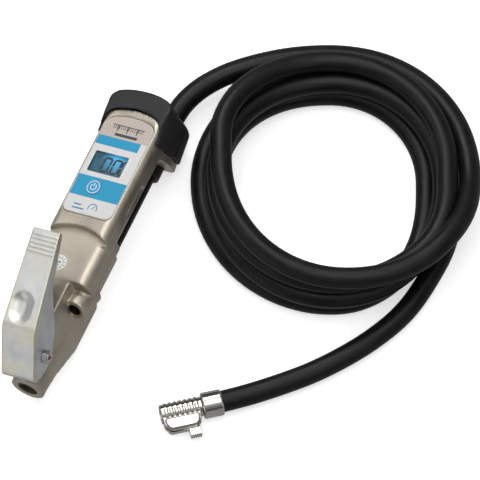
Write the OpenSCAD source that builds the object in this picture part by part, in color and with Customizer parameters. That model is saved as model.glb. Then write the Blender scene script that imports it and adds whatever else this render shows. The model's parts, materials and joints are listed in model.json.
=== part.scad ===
// Handheld digital tyre inflator with a trigger valve, a coiled rubber hose and a clip-on
// tyre-valve connector. Millimetres, +Z up. The tool lies on its back on a bench, rolled
// to one side, with the hose coiled flat on the same bench.
//
// The tool is drawn in its own frame and then laid down by lay_tool():
//   x across the face, y from the air inlet towards the cap, z out of the display face.

/* [Body] */
// Width of the die-cast head and valve block
body_w = 44.6; // [43.6:0.2:45.4]
// Thickness of the handle web that the trigger straddles
web_t = 19; // [18:0.2:20]
// Outer radius of the round air inlet boss
inlet_boss_r = 11.7; // [11:0.1:12]
// Radius of the inlet's quarter-inch pipe thread
inlet_thread_r = 6.58; // [6.4:0.01:6.7]
// Depth of the threaded inlet socket
inlet_depth = 12; // [10:0.5:14]
// How far the tool rolls to one side where it lies
roll = 22.5; // [21:0.5:24]

/* [Gauge] */
// Width of the printed label
label_w = 38.4; // [37:0.2:39]
// Width of the display window
window_w = 26; // [24:0.5:28]
// Height of the display window
window_h = 15.6; // [14:0.2:16.4]
// Radius of the power key
key_r = 5.1; // [4:0.1:6]

/* [Trigger] */
// Outer width of the pressed-steel trigger at its pivot
lever_w = 26; // [25.4:0.1:26.6]
// How much narrower the trigger is at its thumb end
lever_taper = 5; // [3:0.2:5.2]
// Thickness of the trigger's sheet steel
lever_sheet = 1.8; // [1.6:0.1:1.9]
// Radius of the pivot bolt's shank
pivot_r = 3; // [2.5:0.1:3.2]

/* [Hose and connector] */
// Outside diameter of the rubber hose
hose_d = 14.5; // [13:0.1:14.6]
// Radius of the coil's outermost turn, to the hose's outer surface
coil_r = 95.6; // [94:0.2:96]
// Radius of the socket that goes over a tyre valve
valve_socket_r = 4; // [3.9:0.05:4.2]

/* [Hidden] */
$fn = 64;

// Where the tool lies. The numbers put the middle of its footprint at the origin.
lay_x = -5.37;
lay_y = -106.2;
lay_z = 54.65;

// Tool: stations along its length
neck_end = 70;
head_start = 100;
head_end = 202;
cap_rim_y = 177;
cap_slant = 14;
half_w = body_w / 2;
block_w = half_w - 0.4;
block_front = -6;
plateau_arc_r = 43.3;
plateau_arc_top = 108;

// Tool: axes that run along it
air_z = -34.4;
hose_z = -43;
exhaust_x = 13;
exhaust_z = -24.8;
exhaust_r = 4.5;
exhaust_l = 13;
exhaust_tilt = 15;
rear_boss_r = 9.2;

// Trigger and valve
pivot_y = 18;
pivot_z = -15;
pivot_clear = 0.06;
valve_y = 37.5;
valve_bore_r = 6;
stem_r = 3;
stem_clear = 0.06;
web_front = -6.5;
lever_toe = [-1, -18];
lever_bend = [22.5, 9];
lever_tip = [85.6, 32];
lever_tilt = atan2(lever_tip.y - lever_bend.y, lever_tip.x - lever_bend.x);
dimple_x = -2;
dimple_y = 35.5;
dimple_stretch = 2.7;
dimple_z = lever_bend.y + (dimple_y - lever_bend.x) * tan(lever_tilt);

// Gauge: stations of the label and its window
label_y0 = 116.5;
label_y1 = 193;
window_x = -2;
window_y = 155.7;
key_x = -3.6;
key_y = 137;

// Hose: the coil's centre on the bench, and its wall
hose_r = hose_d / 2;
coil_x = 125.9;
coil_y = 118.3;
coil_inner_r = 54;
hose_start_y = 92.5;
hose_exit_y = 216;

// Connector: its place on the bench, where +x points out of its mouth
conn_at = [125, -55, 8.8];
conn_turn = 218;
ferrule_l = 13.5;
mouth_x = 41.8;
conn_r = 6.5;
clip_pivot = [27, 9];
clip_pin_r = 1.25;

// Free stretches of the hose, point by point, on the bench
lead_points = [[12.4, 123, 15.2], [17.2, 136.5, 15.8], [26.3, 150.5, 16.7],
               [47.9, 171.5, 18]];
tail_points = [[210.8, 112.1, 7.4], [211.1, 82.6, 7.4], [206.6, 53.6, 7.4],
               [194.8, 26.1, 7.4], [182.3, 6.1, 7.4], [168.7, -11.6, 7.4],
               [154.1, -27.2, 7.4], [139, -41.9, 7.6]];

// ---------------------------------------------------------------- helpers

function unit(v) = v / norm(v);

// One corner of an outline, rounded to radius r with short straight steps
function corner(a, p, b, r, steps) =
    r == 0 ? [p] :
    let (u = unit(a - p), v = unit(b - p),
         half = acos(u * v) / 2,
         centre = p + unit(u + v) * (r / sin(half)),
         start = p + u * (r / tan(half)) - centre,
         first = atan2(start.y, start.x),
         turn = (p - a).x * (b - p).y - (p - a).y * (b - p).x,
         sweep = (turn > 0 ? 1 : -1) * (180 - 2 * half))
    [for (k = [0 : steps])
        centre + r * [cos(first + sweep * k / steps), sin(first + sweep * k / steps)]];

// An outline with each corner rounded by its own radius
function rounded(pts, radii, steps = 6) =
    let (n = len(pts))
    [for (i = [0 : n - 1])
        each corner(pts[(i + n - 1) % n], pts[i], pts[(i + 1) % n], radii[i], steps)];

// Outline in x and z, drawn out along y
module along_y(y0, y1)
    translate([0, y1, 0])
        rotate([90, 0, 0])
            linear_extrude(y1 - y0)
                children();

// Outline in y and z, drawn out along x about the middle plane
module along_x(width)
    rotate([90, 0, 90])
        linear_extrude(width, center = true)
            children();

// Cylinder along y
module rod_y(x, z, y0, y1, r, r_end = undef)
    translate([x, y0, z])
        rotate([-90, 0, 0])
            cylinder(h = y1 - y0, r1 = r, r2 = is_undef(r_end) ? r : r_end);

// The exhaust boss points away from the block and up towards the face
module at_exhaust()
    translate([exhaust_x, neck_end, exhaust_z])
        rotate([-exhaust_tilt, 0, 0])
            children();

// The tool's own frame laid on the bench
module lay_tool()
    translate([lay_x, lay_y, lay_z])
        rotate([0, -roll, 0])
            children();

function laid(p) = [lay_x + p.x * cos(roll) - p.z * sin(roll),
                    lay_y + p.y,
                    lay_z + p.x * sin(roll) + p.z * cos(roll)];

// The slanted plane of the cap's rim
module cap_plane()
    translate([0, cap_rim_y, 0])
        rotate([cap_slant, 0, 0])
            children();

module lay_connector()
    translate(conn_at)
        rotate([0, 0, conn_turn])
            children();

// Cylinder along the connector's axis
module rod_x(x0, x1, r, r_end = undef)
    translate([x0, 0, 0])
        rotate([0, 90, 0])
            cylinder(h = x1 - x0, r1 = r, r2 = is_undef(r_end) ? r : r_end);

// Closed tube of the given radius along a list of points
function tangent_at(path, i) =
    unit(path[min(i + 1, len(path) - 1)] - path[max(i - 1, 0)]);

function ring_at(path, i, r, sides) =
    let (t = tangent_at(path, i),
         side = unit(cross(t, abs(t.z) > 0.9 ? [1, 0, 0] : [0, 0, 1])),
         up = cross(side, t))
    [for (k = [0 : sides - 1])
        path[i] + r * (side * cos(360 * k / sides) + up * sin(360 * k / sides))];

module tube(path, r, sides = 12) {
    n = len(path);
    points = [for (i = [0 : n - 1]) each ring_at(path, i, r, sides)];
    walls = [for (i = [0 : n - 2], k = [0 : sides - 1])
        let (a = i * sides + k, b = i * sides + (k + 1) % sides)
        each [[a, b, b + sides], [a, b + sides, a + sides]]];
    first = [for (k = [0 : sides - 1]) sides - 1 - k];
    last = [for (k = [0 : sides - 1]) (n - 1) * sides + k];
    polyhedron(points, concat([first], walls, [last]));
}

// Round-wire helical spring that stands on z = 0
module spring(coil_radius, wire_radius, height, turns) {
    steps = 12;
    rise = (height - 2 * wire_radius) / (turns * steps);
    path = [for (i = [0 : turns * steps])
        [coil_radius * cos(i * 360 / steps), coil_radius * sin(i * 360 / steps),
         wire_radius + i * rise]];
    tube(path, wire_radius, 8);
}

// ---------------------------------------------------------------- outlines

head_section = rounded([[-half_w, 0], [half_w, 0], [half_w, -16], [13, -29],
                        [-13, -29], [-half_w, -16]], [5, 5, 7, 6, 6, 7]);

block_section = rounded([[-block_w, block_front], [block_w, block_front], [block_w, -24],
                         [12, -34], [7, -46], [-7, -46], [-12, -34], [-block_w, -24]],
                        [6, 6, 6, 5, 0, 0, 5, 6]);

// The arched top of the face, from its left flank to its right one
face_arch = let (pts = rounded([[0, 100], [-half_w - 0.4, 150], [-half_w - 0.4, 194], [0, 199],
                                [half_w + 0.4, 194], [half_w + 0.4, 150]],
                               [0, 0, 12, 48, 12, 0]))
    [for (i = [1 : len(pts) - 1]) pts[i]];

web_outline = rounded([[7, -42], [7.5, -24], [9.6, web_front], [neck_end + 4, web_front],
                       [neck_end + 8, -51], [42, -51], [18, -43.5]],
                      [0, 2, 8.3, 0, 4, 14, 0]);

cap_section = rounded([[-24, 1.2], [24, 1.2], [24, -30], [14.5, -56.5],
                       [-14.5, -56.5], [-24, -30]], [7.5, 7.5, 12, 8, 8, 12]);

flange_section = rounded([[-22.6, -3], [22.6, -3], [22.6, -29], [13.4, -55],
                          [-13.4, -55], [-22.6, -29]], [3, 3, 11, 7, 7, 11]);

cap_plan = rounded([[-24.2, 160], [24.2, 160], [24.2, 208], [0, 215.5], [-24.2, 208]],
                   [0, 0, 9, 50, 9]);

cap_side = rounded([[160, 2], [212, 2], [218, -10], [218, -36], [207, -57], [160, -57]],
                   [0, 4, 10, 12, 5, 0]);

lever_outline = rounded([lever_toe, lever_bend, lever_tip, [86.8, 27.8], [60, 13.6],
                         [54, 9.3], [36.6, -13.3], [21, -24.4], [10.4, -24.2], [1, -21.4]],
                        [3, 15, 1, 1, 12, 8, 10, 6, 6, 1]);

lever_hollow = rounded([lever_toe + [3, 0.1], lever_bend + [1.2, -1.68] * lever_sheet / 2,
                        lever_tip + [7, 2.4] - [0, 2.15] * lever_sheet / 2,
                        [97, -60], [1.9, -60]], [0, 13, 0, 0, 0]);

function label_outline(inset) =
    let (w = label_w / 2 - inset, y0 = label_y0 + inset, y1 = label_y1 - inset)
    rounded([[-w, y0], [w, y0], [w, y1 - 4], [0, y1 + 0.4], [-w, y1 - 4]],
            [5, 5, 8, 50, 8]);

// ---------------------------------------------------------------- tool body

// What lies past the arched top of the face
module beyond_arch()
    translate([0, 0, -7.5])
        linear_extrude(12)
            polygon(concat([[half_w + 9, 170], [half_w + 9, 220], [-half_w - 9, 220],
                            [-half_w - 9, 170]], face_arch));

module casting_solid() {
    // Head with the display face
    difference() {
        along_y(head_start, head_end) polygon(head_section);
        translate([0, plateau_arc_top - plateau_arc_r, block_front])
            cylinder(h = 10, r = plateau_arc_r);
        beyond_arch();
    }
    // Valve block
    along_y(neck_end, 110) polygon(block_section);
    rod_y(0, hose_z, neck_end + 4, 112, rear_boss_r);
    // Handle web and air inlet
    along_x(web_t) polygon(web_outline);
    rod_y(0, air_z, 0, 30, inlet_boss_r);
    rod_y(0, air_z, 30, 44, inlet_boss_r, web_t / 2 - 0.3);
    // Exhaust boss
    at_exhaust() rod_y(0, 0, -exhaust_l, 6, 8, 9.8);
    // Flange under the cap
    cap_plane() along_y(-6, 0) polygon(flange_section);
}

module casting_passages() {
    // Inlet thread, filter seat and air way to the valve
    rod_y(0, air_z, -1, inlet_depth, inlet_thread_r);
    rod_y(0, air_z, -0.01, 0.8, inlet_thread_r + 0.8, inlet_thread_r);
    rod_y(0, air_z, inlet_depth - 1, 20, 5.6);
    rod_y(0, air_z, 19, valve_y, 3.5);
    // Valve chamber with the counterbore for its nut
    translate([0, valve_y, air_z - 3]) cylinder(h = 40, r = valve_bore_r);
    // Air way from the valve to the hose socket
    rod_y(0, -24, valve_y, 84, 2.2);
    translate([0, 82, hose_z]) cylinder(h = 20, r = 2);
    rod_y(0, hose_z, 78, 88, 2.5);
    rod_y(0, hose_z, 86, 92.5, 5);
    rod_y(0, hose_z, 92, 113, hose_r + 0.25);
    // Exhaust
    at_exhaust() rod_y(0, 0, -exhaust_l - 1, 0, exhaust_r);
    rod_y(exhaust_x, exhaust_z, neck_end - 1, neck_end + 10, 2);
    // Pivot of the trigger
    translate([-20, pivot_y, pivot_z]) rotate([0, 90, 0]) cylinder(h = 40, r = pivot_r + 0.02);
    // Hose way through the flange
    rod_y(0, hose_z, 178, 200, 9.3);
    // Drilling for the pressure sensor's tube
    rod_y(0, -18, 84, 122, 1.6);
    translate([0, 86, -26]) cylinder(h = 8, r = 1.2);
}

module casting_cavity() {
    // Recess for the face plate and the room for the electronics behind it
    translate([0, 0, -2.6]) linear_extrude(4) polygon(label_outline(-0.15));
    translate([-17, 120, -12]) cube([34, 70, 11]);
    translate([-14, 119.5, -23.2]) cube([28, 90, 14]);
    // Pockets in the head's flanks
    for (side = [-1, 1])
        translate([side * (half_w + 4.4), 0, -15])
            rod_y(0, 0, 128, 152, 6);
    // Pilot holes of the cover's screws
    for (side = [-1, 1])
        rod_y(side * 18.5, -12, 192, 203, 1.25);
}

module body_casting()
    color([0.74, 0.70, 0.63])
        lay_tool()
            difference() {
                casting_solid();
                casting_passages();
                casting_cavity();
            }

// ---------------------------------------------------------------- gauge

module window_cut(grow, z0, h)
    translate([window_x - window_w / 2 - grow, window_y - window_h / 2 - grow, z0])
        cube([window_w + 2 * grow, window_h + 2 * grow, h]);

module face_plate()
    color([0.85, 0.84, 0.82])
        lay_tool()
            difference() {
                translate([0, 0, -2.6]) linear_extrude(2) polygon(label_outline(0));
                window_cut(1.5, -3, 4);
                translate([key_x, key_y, -3]) cylinder(h = 4, r = key_r + 0.2);
            }

module face_label()
    color([0.82, 0.78, 0.76])
        lay_tool()
            difference() {
                translate([0, 0, -0.6]) linear_extrude(0.3) polygon(label_outline(0.3));
                window_cut(0, -1, 2);
                translate([key_x, key_y, -1]) cylinder(h = 2, r = key_r + 0.2);
            }

module lcd_window()
    color([0.35, 0.62, 0.80])
        lay_tool()
            window_cut(1.4, -2.5, 1.9);

module lcd_panel()
    color([0.12, 0.32, 0.42])
        lay_tool()
            translate([window_x - 14.5, window_y - 10, -5.4])
                cube([29, 20, 2.6]);

module circuit_board()
    color([0.10, 0.38, 0.20])
        lay_tool() {
            translate([-16.5, 121, -8]) cube([33, 68, 1.6]);
            translate([-6, 168.5, -6.3]) cube([12, 12, 1.6]);
            translate([6, 127, -6.3]) cube([8, 6, 1.4]);
        }

module pressure_sensor()
    color([0.72, 0.73, 0.75])
        lay_tool()
            difference() {
                union() {
                    translate([0, 127, -13]) cylinder(h = 4.9, r = 5.5);
                    translate([0, 127, -21.5]) cylinder(h = 8.6, r = 3.6);
                }
                rod_y(0, -18, 121, 127, 1.52);
            }

module sensor_tube()
    color([0.78, 0.62, 0.30])
        lay_tool()
            difference() {
                rod_y(0, -18, 96, 126.5, 1.5);
                rod_y(0, -18, 95, 127, 0.8);
            }

module cell_room(r)
    for (side = [-1, 1])
        rod_y(side * 5.9, -16.4, 139.4, 184.6, r);

module battery_tray()
    color([0.13, 0.13, 0.14])
        lay_tool()
            difference() {
                translate([-13.5, 136.5, -22.8]) cube([27, 51, 12]);
                cell_room(5.4);
                translate([-11, 141, -16]) cube([22, 42, 6]);
            }

module batteries()
    color([0.20, 0.35, 0.55])
        lay_tool()
            for (side = [-1, 1]) {
                rod_y(side * 5.9, -16.4, 140.2, 182.8, 5.25);
                rod_y(side * 5.9, -16.4, 182.8, 183.6, 1.9);
            }

module battery_contacts()
    color([0.80, 0.76, 0.62])
        lay_tool()
            for (end = [139.5, 183.8], side = [-1, 1])
                translate([side * 5.9 - 3.5, end, -19.4]) cube([7, 0.5, 6]);

module battery_cover()
    color([0.17, 0.17, 0.18])
        lay_tool() {
            difference() {
                along_y(head_end + 0.1, head_end + 2.4)
                    polygon(rounded([[-20.8, -4.8], [20.8, -4.8], [20.8, -16.2],
                                     [12, -26], [-12, -26], [-20.8, -16.2]],
                                    [4, 4, 5, 4, 4, 5]));
                for (side = [-1, 1])
                    rod_y(side * 18.5, -12, head_end, head_end + 3, 1.7);
            }
            translate([-13.5, 193, -22.8]) cube([27, head_end - 192.8, 13.2]);
        }

module cover_screws()
    color([0.78, 0.78, 0.80])
        lay_tool()
            for (side = [-1, 1])
                difference() {
                    union() {
                        rod_y(side * 18.5, -12, 194, head_end + 2.5, 1.24);
                        rod_y(side * 18.5, -12, head_end + 2.5, head_end + 4.4, 2.8);
                    }
                    translate([side * 18.5 - 3, head_end + 3.6, -12.4]) cube([6, 2, 0.8]);
                }

module power_key()
    color([0.20, 0.62, 0.84])
        lay_tool()
            translate([key_x, key_y, 0]) {
                translate([0, 0, -2.4]) cylinder(h = 2.5, r = key_r);
                translate([0, 0, -5.2]) cylinder(h = 3, r = 1.6);
            }

module date_sticker()
    color([0.90, 0.90, 0.88])
        lay_tool()
            translate([-5, 81, block_front]) cylinder(h = 0.2, r = 6);

// ---------------------------------------------------------------- cap and hose seat

module rubber_cap()
    color([0.16, 0.16, 0.17])
        lay_tool()
            difference() {
                intersection() {
                    cap_plane() along_y(0.1, 60) polygon(cap_section);
                    translate([0, 0, -70]) linear_extrude(80) polygon(cap_plan);
                    along_x(60) polygon(cap_side);
                }
                // Room for the head, its cover and the cover's screws
                along_y(160, head_end + 5)
                    polygon(rounded([[-half_w - 0.1, 0.1], [half_w + 0.1, 0.1],
                                     [half_w + 0.1, -16], [13, -29.2], [-13, -29.2],
                                     [-half_w - 0.1, -16]], [5, 5, 7, 6, 6, 7]));
                translate([0, 0, -6]) linear_extrude(10) polygon(face_arch);
                rod_y(0, hose_z, 170, 230, hose_r + 0.15);
                rod_y(0, hose_z, 170, 199, 9.7);
            }

module hose_grommet()
    color([0.07, 0.07, 0.07])
        lay_tool()
            difference() {
                union() {
                    // Collar, cut off along the flange's slant
                    difference() {
                        rod_y(0, hose_z, 173, 188, 9.9);
                        cap_plane() translate([-20, -6.1, -90]) cube([40, 40, 100]);
                    }
                    rod_y(0, hose_z, 175, 196, 9.2);
                }
                rod_y(0, hose_z, 170, 197, hose_r + 0.1);
                translate([-20, 160, -34.4]) cube([40, 20.5, 10]);
            }

module hose_adaptor()
    color([0.78, 0.63, 0.32])
        lay_tool()
            difference() {
                union() {
                    rod_y(0, hose_z, 86.2, 92.4, 4.95);
                    rod_y(0, hose_z, 92.4, 108, 3.6);
                    for (barb = [94 : 4 : 104])
                        rod_y(0, hose_z, barb, barb + 3, 3.6, 4.3);
                }
                rod_y(0, hose_z, 86, 109, 2.2);
            }

// ---------------------------------------------------------------- air inlet and valve

module inlet_filter()
    color([0.70, 0.58, 0.36])
        lay_tool()
            rod_y(0, air_z, 13.6, 18.8, 5.5);

module filter_clip()
    color([0.55, 0.56, 0.58])
        lay_tool()
            difference() {
                rod_y(0, air_z, 12.3, 13.4, 5.55);
                rod_y(0, air_z, 12, 14, 4.2);
                translate([-0.8, 12, air_z + 3]) cube([1.6, 2, 4]);
            }

module valve_nut()
    color([0.80, 0.66, 0.36])
        lay_tool()
            difference() {
                union() {
                    translate([0, valve_y, -14]) cylinder(h = 7.5, r = valve_bore_r - 0.02);
                    translate([0, valve_y, web_front]) cylinder(h = 2.6, r = 7.4, $fn = 6);
                }
                translate([0, valve_y, -15]) cylinder(h = 12, r = stem_r + stem_clear);
            }

module valve_plunger()
    color([0.82, 0.70, 0.40])
        lay_tool()
            translate([0, valve_y, 0]) {
                translate([0, 0, -27]) cylinder(h = 31, r = stem_r);
                intersection() {
                    translate([0, 0, 1.95]) sphere(r = 6);
                    translate([0, 0, 3.6]) cylinder(h = 10, r = 5.7);
                }
                translate([0, 0, -27]) cylinder(h = 3, r = 5.4);
            }

module plunger_seal()
    color([0.06, 0.06, 0.06])
        lay_tool()
            translate([0, valve_y, -16.1])
                rotate_extrude()
                    translate([stem_r + stem_clear + 1.35, 0])
                        circle(r = 1.3, $fn = 24);

module valve_spring()
    color([0.70, 0.71, 0.73])
        lay_tool()
            translate([0, valve_y, -37.2])
                spring(3.6, 0.5, 10.1, 5);

module exhaust_silencer()
    color([0.62, 0.50, 0.32])
        lay_tool()
            at_exhaust() rod_y(0, 0, -6, -0.5, exhaust_r - 0.1);

// ---------------------------------------------------------------- trigger

module lever_bore(extra)
    translate([-20, pivot_y, pivot_z])
        rotate([0, 90, 0])
            cylinder(h = 40, r = pivot_r + extra);

// Plan of the trigger, drawn in by the given amount on each side
module lever_plan(inset)
    translate([0, 0, -60])
        linear_extrude(120)
            polygon([for (side = [-1, 1])
                each [for (k = [0 : 3])
                    let (i = side < 0 ? k : 3 - k,
                         w = (lever_w - (i > 1 ? lever_taper : 0)) / 2 - inset)
                    [side * w, [-60, lever_bend.x, 88, 120][i]]]]);

module at_dimple()
    translate([dimple_x, dimple_y, dimple_z])
        rotate([lever_tilt, 0, 0])
            children();

// Upright slot with round ends, as long as the dimple is stretched
module thumb_slot(r, z0, z1)
    translate([0, 0, z0]) {
        for (side = [-1, 1])
            translate([0, side * dimple_stretch, 0]) cylinder(h = z1 - z0, r = r);
        translate([-r, -dimple_stretch, 0]) cube([2 * r, 2 * dimple_stretch, z1 - z0]);
    }

module trigger_lever()
    color([0.78, 0.79, 0.78])
        lay_tool()
            difference() {
                union() {
                    difference() {
                        intersection() {
                            along_x(lever_w) polygon(lever_outline);
                            lever_plan(0);
                        }
                        intersection() {
                            along_x(lever_w) polygon(lever_hollow);
                            lever_plan(lever_sheet);
                        }
                    }
                    at_dimple() thumb_slot(7, -5.5, -1);
                    // Grip ridges across the thumb end
                    for (k = [0 : 4])
                        translate([0, lever_tip.x, lever_tip.y])
                            rotate([lever_tilt, 0, 0])
                                translate([0, -4 - 2.9 * k, -0.15])
                                    rotate([0, 90, 0])
                                        cylinder(h = 19.4, r = 0.6, center = true);
                }
                at_dimple() translate([0, 0, 8.6]) {
                    for (side = [-1, 1])
                        translate([0, side * dimple_stretch, 0]) sphere(r = 12);
                    rotate([90, 0, 0]) cylinder(h = 2 * dimple_stretch, r = 12, center = true);
                }
                lever_bore(pivot_clear);
            }

module lever_bolt()
    color([0.72, 0.73, 0.75])
        lay_tool()
            difference() {
                union() {
                    translate([-lever_w / 2 - 0.3, pivot_y, pivot_z])
                        rotate([0, 90, 0]) cylinder(h = lever_w + 4.2, r = pivot_r);
                    translate([-lever_w / 2 - 3.1, pivot_y, pivot_z])
                        rotate([0, 90, 0]) cylinder(h = 2.8, r = 5);
                }
                translate([-lever_w / 2 - 3.2, pivot_y, pivot_z])
                    rotate([0, 90, 0]) cylinder(h = 1.8, r = 2.2, $fn = 6);
            }

module lever_nut()
    color([0.70, 0.72, 0.74])
        lay_tool()
            difference() {
                translate([lever_w / 2 + 0.3, pivot_y, pivot_z])
                    rotate([0, 90, 0]) cylinder(h = 3.4, r = 4.6, $fn = 6);
                lever_bore(0);
            }

// ---------------------------------------------------------------- hose

module hose_lead()
    color([0.09, 0.09, 0.10])
        tube(concat([for (y = [hose_start_y, 130, 170, 200, hose_exit_y])
                        laid([0, y, hose_z])], lead_points), hose_r);

module hose_coil()
    color([0.09, 0.09, 0.10])
        translate([coil_x, coil_y, 0])
            rotate_extrude($fn = 96)
                polygon(rounded([[coil_inner_r, 0.1], [coil_r, 0.1], [coil_r, 40], [90, 52],
                                 [68, 52], [coil_inner_r, 18]], [5, 6, 8, 7, 7, 6], 4));

module hose_tail()
    color([0.09, 0.09, 0.10])
        tube(concat(tail_points, [conn_at + 8 * [cos(conn_turn), sin(conn_turn), 0]]), hose_r);

// ---------------------------------------------------------------- connector

module hose_ferrule()
    color([0.85, 0.86, 0.88])
        lay_connector()
            difference() {
                union() {
                    rod_x(0, 1, 8.2, 8.8);
                    rod_x(1, ferrule_l - 1, 8.8);
                    rod_x(ferrule_l - 1, ferrule_l, 8.8, 8);
                }
                rod_x(-1, 10.5, hose_r + 0.05);
                rod_x(9, ferrule_l + 1, 3.6);
            }

module connector_body()
    color([0.80, 0.81, 0.83])
        lay_connector()
            difference() {
                union() {
                    rod_x(6, ferrule_l + 3, 3.55);
                    rod_x(ferrule_l + 0.2, mouth_x - 0.8, conn_r);
                    rod_x(mouth_x - 0.8, mouth_x, conn_r, conn_r - 0.8);
                    translate([0, 0, -5])
                        linear_extrude(10)
                            polygon(rounded([[15.5, 0], [40.8, 0], [40.8, 9], [36.5, 13.6],
                                             [20, 13.6], [15.5, 9]], [0, 0, 5, 4, 4, 5]));
                    // Finger grip: raised bands round the back of the barrel
                    for (k = [0 : 6])
                        rod_x(16.5 + 3.4 * k, 18.3 + 3.4 * k, conn_r + 0.6);
                }
                rod_x(5, 31, 2.2);
                rod_x(30.4, 33.6, 5);
                rod_x(33, mouth_x + 1, valve_socket_r);
                translate([16.8, 3.4, -1.7]) cube([26, 12, 3.4]);
                translate([clip_pivot.x, clip_pivot.y, -8]) cylinder(h = 16, r = clip_pin_r);
            }

module connector_cheeks()
    color([0.86, 0.86, 0.86])
        lay_connector()
            for (side = [-1, 1])
                difference() {
                    translate([0, 0, side * 5.4 - 0.4])
                        linear_extrude(0.8)
                            polygon(rounded([[16.6, 6.2], [39.6, 6.2], [37.2, 12.7], [19, 12.7]],
                                            [2, 2, 2.4, 2.4]));
                    translate([clip_pivot.x, clip_pivot.y, -8]) cylinder(h = 16, r = clip_pin_r);
                }

module connector_seal()
    color([0.06, 0.06, 0.06])
        lay_connector()
            difference() {
                rod_x(30.6, 33.2, 4.95);
                rod_x(30, 34, 1.8);
            }

module depressor_pin()
    color([0.82, 0.70, 0.40])
        lay_connector()
            difference() {
                union() {
                    rod_x(25, 26.2, 2.2);
                    rod_x(26, 33.2, 1.1);
                }
                for (turn = [0 : 120 : 240])
                    rotate([turn, 0, 0])
                        translate([24, 0, 1.65]) rotate([0, 90, 0]) cylinder(h = 3, r = 0.35);
            }

module clip_latch()
    color([0.78, 0.79, 0.80])
        lay_connector()
            difference() {
                union() {
                    translate([0, 0, -1.5])
                        linear_extrude(3)
                            polygon(rounded([[39.2, 4.15], [39.2, 8.6], [30, 12.4],
                                             [25, 15.4], [18.4, 15.4], [18.4, 12.6],
                                             [23.5, 11.4], [25, 7], [31, 6.2], [36.8, 6.4],
                                             [37.6, 4.15]],
                                            [0.3, 2, 2, 0.4, 0.4, 0.4, 1, 1.4, 1, 0.5, 0.3]));
                    translate([17.6, 14.6, -3.4]) cube([7.8, 4.6, 6.8]);
                    for (k = [0 : 4])
                        translate([18.4 + 1.55 * k, 19.2, 0])
                            cylinder(h = 6.8, r = 0.6, center = true);
                }
                translate([clip_pivot.x, clip_pivot.y, -5])
                    cylinder(h = 10, r = clip_pin_r + 0.05);
            }

module clip_pin()
    color([0.70, 0.71, 0.73])
        lay_connector()
            translate([clip_pivot.x, clip_pivot.y, -6.2])
                cylinder(h = 12.4, r = clip_pin_r);

module clip_spring()
    color([0.70, 0.71, 0.73])
        lay_connector()
            translate([20.4, 3.5, 0])
                rotate([-90, 0, 0])
                    spring(1.15, 0.25, 8.2, 5);

body_casting();
face_plate();
face_label();
lcd_window();
lcd_panel();
circuit_board();
pressure_sensor();
sensor_tube();
battery_tray();
batteries();
battery_contacts();
battery_cover();
cover_screws();
power_key();
rubber_cap();
hose_grommet();
hose_adaptor();
inlet_filter();
filter_clip();
valve_nut();
valve_plunger();
plunger_seal();
valve_spring();
exhaust_silencer();
date_sticker();
trigger_lever();
lever_bolt();
lever_nut();
hose_lead();
hose_coil();
hose_tail();
hose_ferrule();
connector_body();
connector_cheeks();
connector_seal();
depressor_pin();
clip_latch();
clip_pin();
clip_spring();
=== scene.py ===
"""Handheld digital tyre inflator with a coiled rubber hose and a clip-on valve connector.

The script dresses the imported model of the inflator: it puts a soft-edged die-cast body, a
rubber cap, a pressed trigger, a printed gauge face, one long rubber hose and a plated
connector where the model has their plain solids. Lengths in the classes are millimetres in
the tool's or the connector's own frame, and become metres when a mesh is made.
"""

from __future__ import annotations

import json
import logging
import math
from dataclasses import dataclass
from enum import Enum

import bmesh
import bpy
import numpy as np
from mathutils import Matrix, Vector


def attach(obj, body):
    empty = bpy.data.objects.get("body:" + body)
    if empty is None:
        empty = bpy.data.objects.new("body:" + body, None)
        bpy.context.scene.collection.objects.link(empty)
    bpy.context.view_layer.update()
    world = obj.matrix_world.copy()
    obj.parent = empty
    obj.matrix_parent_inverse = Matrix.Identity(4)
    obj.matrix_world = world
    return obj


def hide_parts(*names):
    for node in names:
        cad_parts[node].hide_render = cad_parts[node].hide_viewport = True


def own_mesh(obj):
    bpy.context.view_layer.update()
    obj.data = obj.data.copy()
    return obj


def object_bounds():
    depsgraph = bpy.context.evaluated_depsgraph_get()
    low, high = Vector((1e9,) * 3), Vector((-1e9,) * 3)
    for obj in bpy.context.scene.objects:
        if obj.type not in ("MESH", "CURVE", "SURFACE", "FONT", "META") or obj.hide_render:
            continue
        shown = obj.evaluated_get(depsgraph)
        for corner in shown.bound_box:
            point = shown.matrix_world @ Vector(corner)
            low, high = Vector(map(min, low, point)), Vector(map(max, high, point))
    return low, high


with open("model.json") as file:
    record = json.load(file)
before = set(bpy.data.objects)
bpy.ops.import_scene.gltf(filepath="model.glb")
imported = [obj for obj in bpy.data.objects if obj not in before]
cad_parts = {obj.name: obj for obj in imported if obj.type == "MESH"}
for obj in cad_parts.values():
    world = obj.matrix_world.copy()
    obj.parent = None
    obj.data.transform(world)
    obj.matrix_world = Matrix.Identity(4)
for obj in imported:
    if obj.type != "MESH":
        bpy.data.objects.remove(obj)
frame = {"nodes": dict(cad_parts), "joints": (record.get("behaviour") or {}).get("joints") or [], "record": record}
CAD_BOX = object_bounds()

log = logging.getLogger("inflator")
MM = 0.001
Array = np.ndarray
Point = tuple[float, float, float]


class Body(str, Enum):
    """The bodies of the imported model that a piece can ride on."""

    TOOL = "inflator"
    TRIGGER = "trigger"
    PLUNGER = "plunger"
    KEY = "key"
    CLIP = "clip"


# ---------------------------------------------------------------- frames


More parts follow.
